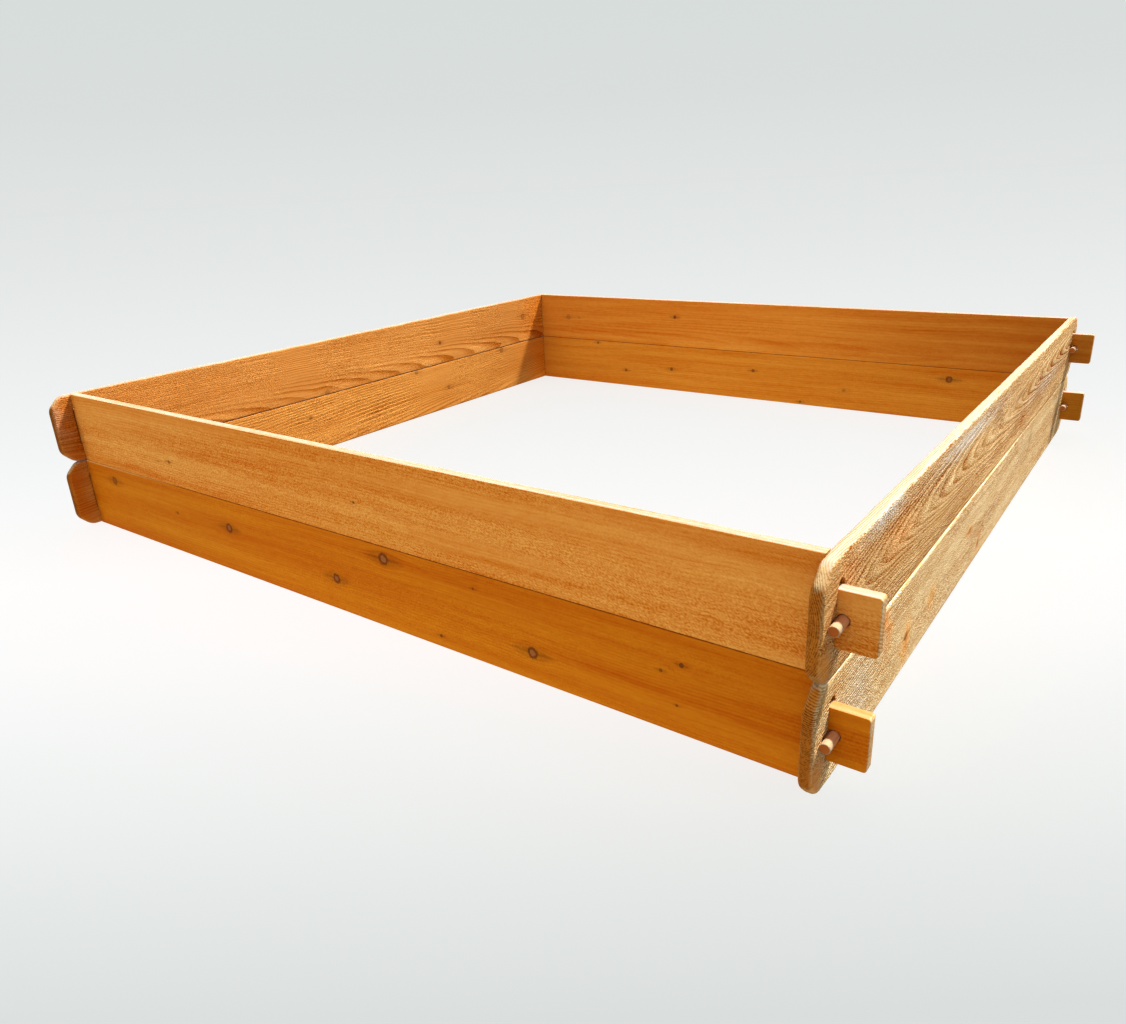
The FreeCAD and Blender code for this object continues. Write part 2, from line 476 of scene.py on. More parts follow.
# ---------------- slots and holes
def mortise_outline(flare):
    """Points (u, v) round a mortise, counter-clockwise: a round top and squarer bottom corners."""
    half = HALF_THICKNESS + MORTISE_SIDE_GAP + flare
    centre = MID_HEIGHT + TENON_HEIGHT / 2 + MORTISE_TOP_GAP - HALF_THICKNESS - MORTISE_SIDE_GAP
    low = MID_HEIGHT - TENON_HEIGHT / 2 - MORTISE_BOTTOM_GAP - flare
    corner = MORTISE_BOTTOM_RADIUS + flare
    top = np.linspace(0, math.pi, 17)
    left = np.linspace(math.pi, 1.5 * math.pi, 5)
    right = left + math.pi / 2
    arcs = ((0.0, centre, half, top), (corner - half, low + corner, corner, left),
            (half - corner, low + corner, corner, right))
    return np.concatenate([np.column_stack([u + radius * np.cos(turns), v + radius * np.sin(turns)])
                           for u, v, radius, turns in arcs])


def hole_outline(flare):
    """Points (u, v) round a peg's hole, counter-clockwise."""
    turns = np.linspace(0, 2 * math.pi, 32, endpoint=False)
    radius = PEG_HOLE_RADIUS + flare
    return np.column_stack([radius * np.cos(turns), MID_HEIGHT + radius * np.sin(turns)])


def tube(name, points, around):
    """A closed tube through rings of points, with this many points in each, and flat ends."""
    last = len(points) - around
    faces = [list(range(around))[::-1], list(range(last, len(points)))]
    for base, k in itertools.product(range(0, last, around), range(around)):
        after = (k + 1) % around
        faces.append([base + k, base + after, base + around + after, base + around + k])
    mesh = bpy.data.meshes.new(name)
    mesh.from_pydata(points, [], faces)
    return mesh


def cutter(centre_u, outline):
    """A closed prism through the board for one mortise or hole, a little wider at both faces."""
    layers = ((-2 * THICKNESS, 4 * CUT_FLARE), (-HALF_THICKNESS, CUT_FLARE),
              (-HALF_THICKNESS + CUT_FLARE, 0.0), (HALF_THICKNESS - CUT_FLARE, 0.0),
              (HALF_THICKNESS, CUT_FLARE), (2 * THICKNESS, 4 * CUT_FLARE))
    points = [(centre_u + u, v, w) for w, flare in layers for u, v in outline(flare)]
    return tube("cutter", points, len(points) // len(layers))


def add_object(name, data):
    """A new object in the scene."""
    added = bpy.data.objects.new(name, data)
    bpy.context.scene.collection.objects.link(added)
    return added


def cut(mesh, cutters):
    """The mesh with each cutter taken out of it."""
    body = add_object("cut_body", mesh)
    tools = [add_object("cut_tool", tool_mesh) for tool_mesh in cutters]
    for tool in tools:
        modifier = body.modifiers.new("cut", "BOOLEAN")
        modifier.operation = "DIFFERENCE"
        modifier.solver = "MANIFOLD"
        modifier.object = tool
    graph = bpy.context.evaluated_depsgraph_get()
    done = bpy.data.meshes.new_from_object(body.evaluated_get(graph), depsgraph=graph)
    for used in [body, *tools]:
        bpy.data.objects.remove(used)
    return done


def write_attribute(mesh, name, kind, values):
    """Stores one number or vector per point."""
    attribute = mesh.attributes.new(name, kind, "POINT")
    field = "vector" if kind == "FLOAT_VECTOR" else "value"
    attribute.data.foreach_set(field, np.ascontiguousarray(values, np.float32).ravel())


def read_vertices(mesh, kind):
    """The place, co, or the normal of each point."""
    found = np.empty(len(mesh.vertices) * 3, np.float32)
    mesh.vertices.foreach_get(kind, found)
    return found.reshape(-1, 3).astype(float)


def settle(mesh, points):
    """Moves a mesh's points to their places, and shades it smooth but for its sharp edges."""
    mesh.vertices.foreach_set("co", points.astype(np.float32).ravel())
    mesh.update()
    mesh.shade_smooth()
    mesh.set_sharp_from_angle(angle=SHARP_ANGLE)


def finish_board(board, mesh):
    """Writes what the materials read, bends the board a little, and puts it in place."""
    points = read_vertices(mesh, "co")
    normals = read_vertices(mesh, "normal")
    u, v, w = points.T
    face = np.where(w < 0, -HALF_THICKNESS, HALF_THICKNESS)
    across = fibre_places(board, u, v, w)
    knot, core = nearest_knot(board, u, v)
    on_face = smooth(0.5, 0.8, np.abs(normals[:, 2]))
    write_attribute(mesh, "fibre_at", "FLOAT_VECTOR", np.column_stack([u, across, w + board.seed]))
    write_attribute(mesh, "ring", "FLOAT", ring_places(board, u, across, w))
    write_attribute(mesh, "knot_at", "FLOAT_VECTOR", knot)
    write_attribute(mesh, "knot_core", "FLOAT", core)
    write_attribute(mesh, "wood", "FLOAT_VECTOR", wood_colour(board, points, normals))
    write_attribute(mesh, "torn", "FLOAT", tornness(board, u, v, face) * on_face)
    # The height of the relief, which the materials turn into painted highlight on high spots and painted
    # shade in hollows.
    write_attribute(mesh, "crest", "FLOAT", relief(board, u, v, face) / CREST * on_face)
    write_attribute(mesh, "end_grain", "FLOAT", smooth(0.50, 0.90, np.abs(normals[:, 0])))
    weathered = outward(w) * (1 - smooth(0.79, 0.81, np.abs(u)))
    write_attribute(mesh, "contrast", "FLOAT", 1 + (board.weathering - 1) * weathered)

    tier = TIERS.index(board.tier)
    along, out, distance = PLACES[board.place]
    rise = v + tier * BOARD_HEIGHT
    if board.rough and board.tier == "upper":
        rise = rise + RIM_WAVE * noise(board.seed + 23, u / 0.04) * v / BOARD_HEIGHT
    placed = np.outer(u, along) + np.outer(w + board.bow(u) + distance, out)
    placed[:, 2] += rise
    if np.cross(along, (0, 0, 1)) @ np.array(out) < 0:
        mesh.flip_normals()
    settle(mesh, placed)


# ---------------- the eight boards
# The way each board runs, the way out of the bed, and how far out the board's middle is.
PLACES = {
    "front": ((1, 0, 0), (0, -1, 0), TENON_BOARD_Y),
    "back": ((1, 0, 0), (0, 1, 0), TENON_BOARD_Y),
    "left": ((0, 1, 0), (-1, 0, 0), SIDE_BOARD_X),
    "right": ((0, 1, 0), (1, 0, 0), SIDE_BOARD_X),
}


@dataclass
class Board:
    """One board, in metres, with u from its middle and v from its lower edge.

    Its stains and patches of painted shade and light are on its seen face, and its calm stretches on the
    inside.
    """

    tier: str
    place: str
    seed: int
    pith: tuple                         # v and w of the pith, and their slopes along the board
    inside: tuple                       # base colours of the two faces
    outside: tuple
    knots: list                         # (u, v, radius, darkness, openness of the core)
    stains_and_painted_light: list                        # (u, v, reach along, reach across, strength, colour) of stains and of painted shade and light
    calm: tuple = ()                    # (u, reach) of stretches that the saw left smooth
    tones_and_painted_shade: tuple = (1.0, 1.0)          # lighter and darker stretches, end to end: tone, and painted shade at ends by other boards
    # Faces that look up or down take the edge colour, a pale cream: painted light, matched to the
    # washed-out sunlit tops.
    edge: tuple = (0.40, 0.25, 0.175)
    end: tuple = (0.37, 0.105, 0.009)
    clip: tuple = (0.49, 0.31, 0.135)   # the upper clipped corners, paler as painted light
    fuzz: float = 0.3                   # how much of a planed board's grain is lifted
    weathering: float = 1.0             # how much stronger the grain is outside than inside
    bow: object = np.zeros_like         # how far the board bends out, along its length
    seam: object = lambda u, w: 1.0     # how much painted shade darkens the joint with the other tier
    pale: object = lambda u, w: 0.0     # how much painted light brightens a strip along that joint
    strip: tuple = (0.72, 0.52, 0.29)   # the colour of that painted light

    @property
    def node(self):
        return f"{self.tier}_{self.place}_board"

    @property
    def rough(self):
        return self.place in SIDES

    @property
    def seen(self):
        """The face that the photo shows: 1 for the outside, -1 for the inside."""
        return 1 if self.place in ("front", "right") else -1


FRONT_STEP = 0.0005
RIGHT_BOW = 0.0009


def front_step(u):
    """The lower front board stands a little proud of the upper one near its left end."""
    return FRONT_STEP * (1 - smooth(-0.72, -0.35, u))


def right_bow(u):
    """The right boards bend a little apart behind their front mortises."""
    return RIGHT_BOW * smooth(-0.76, -0.64, u) * (1 - smooth(-0.3, 0.5, u))


AMBER = (0.60, 0.29, 0.070)
RUST = (0.51, 0.185, 0.040)
ASH = (0.43, 0.385, 0.315)
UMBER = (0.25, 0.12, 0.042)
SHADED = (0.40, 0.088, 0.003)
TENON_END = (0.46, 0.28, 0.13)

BOARDS = [
    # The front boards' insides are darker than their outsides: painted shade that offsets the key light
    # falling on them.
    Board("lower", "front", 11, pith=(-0.16, -0.1, 0.02, 0.0), inside=(0.3, 0.1, 0.009),
          outside=(0.52, 0.132, 0.0035), knots=[
        (-0.682, 0.111, 0.0095, 0.7, 0.4), (-0.461, 0.083, 0.003, 0.7, 0.0),
        (-0.293, 0.086, 0.0095, 1.0, 0.8), (-0.006, 0.057, 0.009, 1.0, 0.8),
        (0.114, 0.119, 0.011, 1.0, 0.9), (0.295, 0.115, 0.0022, 0.8, 0.0),
        (0.222, 0.019, 0.003, 0.9, 0.0), (0.396, 0.044, 0.0095, 1.0, 0.9),
        (0.596, 0.082, 0.0028, 0.8, 0.0), (0.624, 0.098, 0.0034, 1.0, 0.1),
        (0.618, 0.04, 0.002, 0.9, 0.0),
    ], stains_and_painted_light=[
        (-0.5, 0.06, 0.26, 0.09, 0.7, (0.53, 0.16, 0.006)),
        (0.5, 0.135, 0.2, 0.03, 0.35, (0.5, 0.118, 0.002)),
        # Painted shade in the corner beside the left boards.
        (-0.785, 0.07, 0.008, 0.15, 0.5, (0.36, 0.09, 0.004)),
    ], tones_and_painted_shade=(0.96, 0.98, 1.03, 1.02, 1.0, 0.94), edge=(0.4, 0.2, 0.07), end=TENON_END, fuzz=0.4,
        # Painted shade darkens the joint from about u = -0.5 on, and painted light brightens a strip of
        # the outside near the left end.
        bow=front_step, seam=lambda u, w: smooth(-0.5, -0.4, u),
        pale=lambda u, w: 0.9 * (1 - smooth(-0.74, -0.4, u)) * (w > 0), strip=(0.72, 0.34, 0.1)),
    Board("upper", "front", 12, pith=(0.32, -0.16, 0.015, 0.01), inside=(0.34, 0.135, 0.026),
          outside=(0.665, 0.236, 0.034), knots=[
        (-0.453, 0.046, 0.004, 0.7, 0.0), (-0.492, 0.042, 0.002, 0.6, 0.0),
        (0.063, 0.061, 0.0024, 0.9, 0.0),
    ], stains_and_painted_light=[
        (-0.49, 0.055, 0.013, 0.009, 0.5, (0.59, 0.19, 0.02)),
        (-0.5, 0.03, 0.2, 0.013, 0.6, (0.7, 0.3, 0.06)),
        (0.08, 0.022, 0.15, 0.016, 0.75, (0.72, 0.31, 0.058)),
        (0.16, 0.057, 0.08, 0.0035, 0.5, (0.55, 0.15, 0.016)),
        (-0.6, 0.013, 0.12, 0.005, 0.6, (0.58, 0.17, 0.015)),
        (-0.037, 0.017, 0.014, 0.008, 0.4, (0.63, 0.2, 0.02)),
        (0.1, 0.125, 0.3, 0.018, 0.5, (0.63, 0.19, 0.018)),
        (0.6, 0.05, 0.2, 0.015, 0.4, (0.7, 0.25, 0.045)),
        (-0.5, 0.08, 0.26, 0.05, 0.5, (0.65, 0.26, 0.048)),
        (0.6, 0.09, 0.2, 0.06, 0.5, (0.67, 0.22, 0.028)),
        (0.84, 0.07, 0.04, 0.15, 0.7, (0.53, 0.18, 0.025)),
        # Painted shade in the corner beside the left boards.
        (-0.785, 0.07, 0.008, 0.15, 0.5, (0.36, 0.09, 0.004)),
    ], tones_and_painted_shade=(0.96, 0.98, 1.01, 1.02, 1.01, 0.98), edge=(0.39, 0.27, 0.185), end=TENON_END, fuzz=0.9,
        bow=lambda u: -front_step(u)),
    # The back boards' outsides are darker than their insides: painted shade that offsets the key light
    # falling on them.
    Board("lower", "back", 13, pith=(-0.12, 0.14, 0.03, 0.0), inside=(0.6, 0.193, 0.015),
          outside=(0.3, 0.118, 0.018), knots=[
        (-0.559, 0.132, 0.0045, 0.8, 0.3), (-0.451, 0.05, 0.005, 0.8, 0.3),
        (-0.282, 0.067, 0.0055, 0.9, 0.3), (-0.006, 0.086, 0.005, 0.8, 0.3),
        (0.143, 0.008, 0.004, 0.8, 0.2), (0.268, 0.054, 0.0055, 0.4, 0.5),
        (0.54, 0.11, 0.009, 1.0, 0.5),
    ], stains_and_painted_light=[
        (-0.62, 0.045, 0.18, 0.01, 0.35, (0.42, 0.105, 0.005)),
        # Painted shade on the right tenon, in its corner with the right board.
        (0.84, 0.07, 0.035, 0.2, 0.9, (0.33, 0.105, 0.006)),
    ], tones_and_painted_shade=(0.86, 0.98, 1.05, 1.0, 0.9, 0.84), end=TENON_END),
    Board("upper", "back", 14, pith=(0.02, 0.09, 0.02, 0.02), inside=(0.615, 0.19, 0.018),
          outside=(0.31, 0.125, 0.022), knots=[
        (-0.676, 0.07, 0.0085, 0.4, 0.6), (-0.632, 0.07, 0.004, 0.3, 0.5),
        (-0.27, 0.09, 0.0055, 1.0, 0.2),
    ], stains_and_painted_light=[
        # Painted shade on the right tenon, in its corner with the right board.
        (0.84, 0.07, 0.035, 0.2, 0.9, (0.33, 0.11, 0.01)),
    ], tones_and_painted_shade=(0.9, 1.0, 1.06, 1.0, 0.82, 0.72), end=TENON_END),
    # The side boards' outsides are a paler beige than their insides: partly weathering and partly
    # painted light of a raking sun.
    Board("lower", "left", 15, pith=(-0.02, 0.16, 0.02, -0.02), inside=(0.495, 0.19, 0.033),
          outside=(0.53, 0.36, 0.17), knots=[
        (-0.224, 0.091, 0.005, 0.7, 0.2), (0.167, 0.134, 0.0075, 0.5, 0.3),
        (0.295, 0.064, 0.0065, 0.6, 0.3), (0.553, 0.131, 0.009, 0.6, 0.5),
    ], stains_and_painted_light=[
        (0.0, 0.06, 0.16, 0.03, 0.35, (0.58, 0.25, 0.048)),
        (0.4, 0.08, 0.08, 0.03, 0.25, (0.54, 0.22, 0.04)),
        # Painted shade: a deeper hue where the back boards' shadow falls near the back corner.
        (0.77, 0.05, 0.08, 0.15, 0.8, (0.6, 0.145, 0.003)),
        (-0.83, 0.07, 0.035, 0.2, 0.95, SHADED),
    ], calm=[(0.245, 0.075), (0.66, 0.12), (-0.85, 0.06)], tones_and_painted_shade=(0.94, 0.98, 1.03, 1.0, 0.92, 0.92),
        end=(0.28, 0.075, 0.007)),
    Board("upper", "left", 16, pith=(-0.005, 0.19, 0.02, 0.02), inside=(0.49, 0.186, 0.036),
          outside=(0.51, 0.31, 0.13), knots=[
        (-0.159, 0.006, 0.0075, 0.4, 0.5), (0.275, 0.0625, 0.0055, 0.9, 0.1),
        (0.673, 0.082, 0.0095, 0.5, 0.8),
    ], stains_and_painted_light=[
        (0.08, 0.07, 0.18, 0.045, 0.35, (0.58, 0.24, 0.048)),
        (0.34, 0.11, 0.06, 0.03, 0.35, (0.44, 0.15, 0.02)),
        # Painted shade: a deeper hue where the back boards' shadow falls near the back corner.
        (0.77, 0.05, 0.08, 0.15, 0.7, (0.58, 0.15, 0.005)),
        (-0.8, 0.04, 0.035, 0.09, 0.95, SHADED),
        # Painted highlight: pale fuzz where the key light catches the top of the ear.
        (-0.83, 0.092, 0.012, 0.03, 0.4, (0.56, 0.35, 0.22)),
    ], calm=[(-0.24, 0.065), (0.335, 0.06), (0.61, 0.055)], tones_and_painted_shade=(0.94, 0.98, 1.03, 1.02, 0.97, 0.92),
        end=(0.28, 0.075, 0.007)),
    Board("lower", "right", 17, pith=(-0.3, -0.05, 0.01, 0.02), inside=(0.51, 0.19, 0.03),
          outside=(0.478, 0.315, 0.146), knots=[
        (-0.507, 0.05, 0.0065, 0.7, 0.2), (-0.385, 0.06, 0.0055, 0.3, 0.5),
        (-0.162, 0.079, 0.0045, 0.5, 0.2), (-0.08, 0.027, 0.0055, 0.5, 0.2),
        (0.345, 0.099, 0.0075, 0.3, 0.5),
    ], stains_and_painted_light=[
        (-0.603, 0.12, 0.013, 0.045, 0.85, RUST), (-0.59, 0.11, 0.006, 0.04, 0.6, AMBER),
        (-0.507, 0.045, 0.018, 0.03, 0.8, AMBER), (-0.507, 0.045, 0.007, 0.018, 0.8, RUST),
        (-0.385, 0.057, 0.018, 0.018, 0.7, AMBER), (-0.162, 0.079, 0.018, 0.007, 0.7, RUST),
        (-0.08, 0.027, 0.01, 0.02, 0.8, RUST), (0.345, 0.099, 0.015, 0.03, 0.4, UMBER),
        (0.67, 0.07, 0.035, 0.09, 0.5, UMBER), (-0.7, 0.07, 0.05, 0.05, 0.35, ASH),
        # Painted shade on the ear's outer face, where the tenon's shadow falls.
        (-0.825, 0.03, 0.016, 0.04, 0.75, (0.56, 0.195, 0.028)),
    # Its upper clipped corners are darker: painted shade under the upper board's ears.
    ], tones_and_painted_shade=(0.95, 1.0, 1.02, 1.02, 1.0, 0.92), clip=(0.46, 0.155, 0.018), bow=right_bow,
        edge=(0.38, 0.28, 0.16), weathering=1.25,
        # Painted shade darkens the joint all along the inside and from about u = 0.1 on the outside,
        # where painted light brightens a strip nearer the front.
        seam=lambda u, w: np.where(w < 0, 1.0, smooth(0.1, 0.5, u)),
        pale=lambda u, w: 0.8 * (w > 0) * (1 - smooth(0.0, 0.5, u))),
    Board("upper", "right", 18, pith=(0.085, -0.055, 0.01, 0.035), inside=(0.51, 0.185, 0.03),
          outside=(0.458, 0.26, 0.1), knots=[
        (0.21, 0.036, 0.0075, 0.4, 0.3),
    ], stains_and_painted_light=[
        (-0.64, 0.13, 0.07, 0.013, 0.7, ASH), (-0.22, 0.12, 0.19, 0.014, 0.65, ASH),
        (-0.58, 0.085, 0.07, 0.03, 0.5, RUST), (-0.77, 0.09, 0.04, 0.05, 0.5, RUST),
        (-0.03, 0.1, 0.035, 0.012, 0.6, UMBER), (0.16, 0.09, 0.07, 0.008, 0.5, UMBER),
        (0.21, 0.034, 0.025, 0.01, 0.6, RUST), (0.45, 0.06, 0.2, 0.015, 0.4, ASH),
        # Painted shade on the ear's outer face, where the tenon's shadow falls.
        (-0.825, 0.03, 0.016, 0.04, 0.8, (0.52, 0.165, 0.014)),
    ], tones_and_painted_shade=(0.84, 0.94, 1.02, 1.01, 1.0, 0.9), edge=(0.39, 0.3, 0.205), weathering=1.5,
        bow=lambda u: -0.8 * right_bow(u)),
]


# ---------------- materials
class Shader:
    """The nodes of a material or world under construction, with short calls for those used here."""

    def __init__(self, owner):
        owner.use_nodes = True
        self.owner = owner
        self.nodes = owner.node_tree.nodes
        self.links = owner.node_tree.links

    def put(self, socket, value):
        """Sets a socket to a constant, or links it to another node's output."""
        if isinstance(value, bpy.types.NodeSocket):
            self.links.new(value, socket)
        elif isinstance(value, tuple) and socket.type == "RGBA":
            socket.default_value = (*value, 1)
        else:
            socket.default_value = value

    def add(self, kind, output, inputs, **settings):
        """One output of a new node, with inputs given by name or number."""
        node = self.nodes.new("ShaderNode" + kind)
        for name, setting in settings.items():
            setattr(node, name, setting)
        for key, value in inputs.items():
            self.put(node.inputs[key], value)
        return node.outputs[output]

    def attribute(self, name, output="Fac"):
        return self.add("Attribute", output, {}, attribute_name=name)

    def math(self, operation, a, b=0.0):
        return self.add("Math", 0, {0: a, 1: b}, operation=operation)

    def plus(self, a, b):
        return self.math("ADD", a, b)

    def minus(self, a, b):
        return self.math("SUBTRACT", a, b)

    def times(self, a, b):
        return self.math("MULTIPLY", a, b)

    def vector(self, operation, *values, output=0):
        return self.add("VectorMath", output, dict(enumerate(values)), operation=operation)

    def turned(self, vector, angle):
        """The vector turned clockwise about its third axis, as seen from its positive side."""
        return self.add("Mapping", 0, {"Vector": vector, "Rotation": (0, 0, angle)})

    def noise(self, vector, along, across, detail=2.0, roughness=0.5):
        """Noise from about 0 to 1, with a cell count per metre along the grain and across it."""
        scaled = self.add("Mapping", 0, {"Vector": vector, "Scale": (along, across, across)})
        return self.add("TexNoise", "Fac", {"Vector": scaled, "Scale": 1.0, "Detail": detail,
                                            "Roughness": roughness})

    def spread(self, value, low, high, to_low=0.0, to_high=1.0):
        """Maps a range onto another, smoothly and clamped."""
        return self.add("MapRange", "Result", {"Value": value, "From Min": low, "From Max": high,
                                               "To Min": to_low, "To Max": to_high},
                        interpolation_type="SMOOTHSTEP")

    def ramp(self, value, stops):
        """A colour ramp from (place, colour) stops."""
        colour = self.add("ValToRGB", "Color", {"Fac": value})
        elements = colour.node.color_ramp.elements
        while len(elements) < len(stops):
            elements.new(0.5)
        for element, (place, shade) in zip(elements, stops):
            element.position = place
            element.color = (*shade, 1)
        return colour

    def mix(self, share, a, b):
        """Two colours mixed: 6 and 7 are the mix node's colour inputs, and 2 is its colour output."""
        return self.add("Mix", 2, {"Factor": share, 6: a, 7: b}, data_type="RGBA")

    def shade(self, colour, amount):
        """The colour times a number."""
        return self.add("VectorMath", 0, {0: colour, "Scale": amount}, operation="SCALE")

    def vary(self, colour, amount, strength):
        """The colour made lighter or deeper by a number, by a strength for each channel."""
        factor = self.vector("MULTIPLY_ADD", amount, strength, (1, 1, 1))
        return self.vector("MAXIMUM", self.vector("MULTIPLY", colour, factor), (0.001, 0.001, 0.001))

    def total(self, *terms):
        """The sum of (value, middle, weight) terms, each value first centred on 0."""
        result = 0.0
        for value, middle, weight in terms:
            result = self.plus(result, self.times(self.minus(value, middle), weight))
        return result

    def bump(self, height, distance):
        return self.add("Bump", "Normal", {"Height": height, "Distance": distance})

    def finish(self, colour, roughness, specular, normal):
        """Sets the material's surface and returns the material."""
        surface = self.nodes["Principled BSDF"]
        for name, value in (("Base Color", colour), ("Roughness", roughness),
                            ("Specular IOR Level", specular), ("Normal", normal)):
            self.put(surface.inputs[name], value)
        return self.owner


KNOT_CORE = (0.36, 0.115, 0.028)
KNOT_RING = (0.115, 0.028, 0.005)


@dataclass
class Grain:
    """How strongly a cedar surface shows each part of its grain."""

    band: float         # broad bands along the board
    streak: float       # narrow streaks
    mottle: float       # small cloudy patches
    line: float         # the dark line at the end of each ring
    fuzz: float         # short lifted fibres
    crest: float        # paler high spots and deeper hollows of the surface: painted highlight and painted shade of the relief
    strength: tuple     # effect on red, green and blue
    ring_width: float   # metres
    bump: float         # metres
    fibre: tuple        # cells per metre of the lifted fibres, along and across
    tilt: float         # of the lifted fibres, off the grain


PLANED = Grain(band=4.0, streak=2.2, mottle=1.9, line=0.8, fuzz=1.6, crest=0.1,
               strength=(0.1, 0.27, 0.55), ring_width=0.0042, bump=0.00008, fibre=(250.0, 760.0),
               tilt=math.radians(25))
ROUGH_SAWN = Grain(band=1.9, streak=2.8, mottle=1.2, line=2.6, fuzz=2.1, crest=0.9,
                   strength=(0.14, 0.24, 0.42), ring_width=RING_WIDTH, bump=0.0004,
                   fibre=(260.0, 620.0), tilt=math.radians(12))


def cedar(name, grain):
    """Unfinished cedar over the base colour held in the mesh."""
    s = Shader(bpy.data.materials.new(name))
    at = s.attribute("fibre_at", "Vector")
    end = s.attribute("end_grain")

    bands = s.noise(at, 1.6, 42.0, 2.0, 0.55)
    streaks = s.noise(at, 4.5, 230.0, 3.0, 0.62)
    mottle = s.noise(at, 70.0, 190.0, 3.0, 0.65)
    phase = s.math("FRACT", s.math("DIVIDE", s.attribute("ring"), grain.ring_width))
    line = s.times(s.spread(phase, 0.3, 0.9), s.spread(phase, 1.0, 0.92))
    line = s.times(line, s.spread(s.noise(at, 1.6, 22.0), 0.38, 0.66, 0.3, 1.0))
    fibres = s.noise(s.turned(at, grain.tilt), *grain.fibre, 2.0, 0.55)
    shreds = s.noise(s.turned(at, 0.3 * grain.tilt), 55.0, 330.0, 3.0, 0.6)
    lifted = s.plus(s.times(s.spread(fibres, 0.38, 0.62, -1.0, 1.0), 0.75),
                    s.times(s.spread(shreds, 0.36, 0.64, -1.0, 1.0), 0.25))
    lifted = s.times(lifted, s.attribute("torn"))
    depth = s.total((bands, 0.5, grain.band), (streaks, 0.5, grain.streak), (mottle, 0.5, grain.mottle),
                    (line, 0.25, -grain.line), (lifted, 0.0, grain.fuzz),
                    (s.attribute("crest"), 0.0, grain.crest))
    depth = s.times(depth, s.attribute("contrast"))
    colour = s.vary(s.attribute("wood", "Vector"), depth, grain.strength)

    # End grain shows ring lines and open pores.
    pores = s.noise(at, 60.0, 420.0, 1.0)
    spots = s.times(s.times(s.spread(pores, 0.48, 0.6), s.spread(phase, 0.15, 0.5)), end)
    colour = s.shade(colour, s.minus(1.0, s.times(spots, 0.45)))
    colour = s.shade(colour, s.minus(1.0, s.times(s.times(line, end), 0.25)))

    # Knots: a core inside a dark ring, a deeper halo along the grain, and a thin dark check.
    du, dv, dark = s.add("SeparateXYZ", 0, {0: s.attribute("knot_at", "Vector")}).node.outputs
    along, across = s.times(du, du), s.times(dv, dv)
    ragged = s.times(s.minus(s.noise(at, 260.0, 260.0), 0.5), 0.7)
    distance = s.plus(s.math("SQRT", s.plus(along, across)), ragged)
    halo_at = s.plus(s.math("SQRT", s.plus(s.times(along, 0.12), across)), ragged)
    halo = s.times(s.spread(halo_at, 1.6, 0.7), dark)
    check_at = s.math("ABSOLUTE", s.plus(dv, s.times(ragged, 0.7)))
    check = s.times(s.spread(check_at, 0.32, 0.05), s.spread(s.math("ABSOLUTE", du), 5.5, 1.0))
    ring = s.times(s.spread(distance, 1.15, 0.75), dark)
    core = s.times(s.spread(distance, 0.62, 0.38), s.times(dark, s.attribute("knot_core")))
    colour = s.mix(s.times(halo, 0.34), colour, s.shade(colour, 0.45))
    colour = s.mix(s.times(s.times(check, dark), 0.4), colour, s.shade(colour, 0.35))
    colour = s.mix(s.times(ring, 0.85), colour, KNOT_RING)
    colour = s.mix(s.times(core, 0.85), colour, KNOT_CORE)

    height = s.plus(lifted, s.times(streaks, 0.6))
    height = s.minus(s.minus(height, s.times(line, 0.35 * grain.line)), spots)
    return s.finish(colour, s.spread(streaks, 0.2, 0.8, 0.65, 0.9), 0.02, s.bump(height, grain.bump))


def peg_wood():
    """A turned dowel of a redder wood, with painted light on its ends."""
    s = Shader(bpy.data.materials.new("peg_wood"))
    at = s.attribute("fibre_at", "Vector")
    fibres = s.noise(at, 60.0, 900.0, 3.0, 0.6)
    bands = s.noise(at, 10.0, 260.0)
    colour = s.ramp(bands, [(0.3, (0.61, 0.27, 0.12)), (0.7, (0.5, 0.2, 0.085))])
    # A pale cream near each end: painted light of the sunlit tips.
    colour = s.mix(s.attribute("painted_light_tip"), colour, (0.38, 0.26, 0.15))
    colour = s.mix(s.attribute("end_grain"), colour, (0.37, 0.095, 0.014))
    colour = s.shade(colour, s.spread(fibres, 0.3, 0.7, 0.88, 1.08))
    return s.finish(colour, s.spread(fibres, 0.2, 0.8, 0.45, 0.65), 0.05, s.bump(fibres, 0.0002))


MATERIALS = {
    "planed_cedar": cedar("planed_cedar", PLANED),
    "rough_sawn_cedar": cedar("rough_sawn_cedar", ROUGH_SAWN),
    "peg_wood": peg_wood(),
}


# ---------------- pegs
def peg_profile():
    """Places along a peg and its radius at each, with eased ends, centred at the origin."""
    turns = np.linspace(0, math.pi / 2, 4)
    half = PEG_LENGTH / 2
    end_u = half - PEG_END_EASE * (1 - np.sin(turns))
    end_r = PEG_RADIUS - PEG_END_EASE * (1 - np.cos(turns[::-1]))[::-1]
    caps = PEG_RADIUS * np.array([0.15, 0.4, 0.65])
    cap_u = np.full(len(caps), half)
    body_u = np.linspace(-half + PEG_END_EASE, half - PEG_END_EASE, 36)
    u = np.concatenate([-cap_u, -end_u[::-1], body_u[1:-1], end_u, cap_u])
    r = np.concatenate([caps, end_r[::-1], np.full(len(body_u) - 2, PEG_RADIUS), end_r, caps[::-1]])
    return u, r


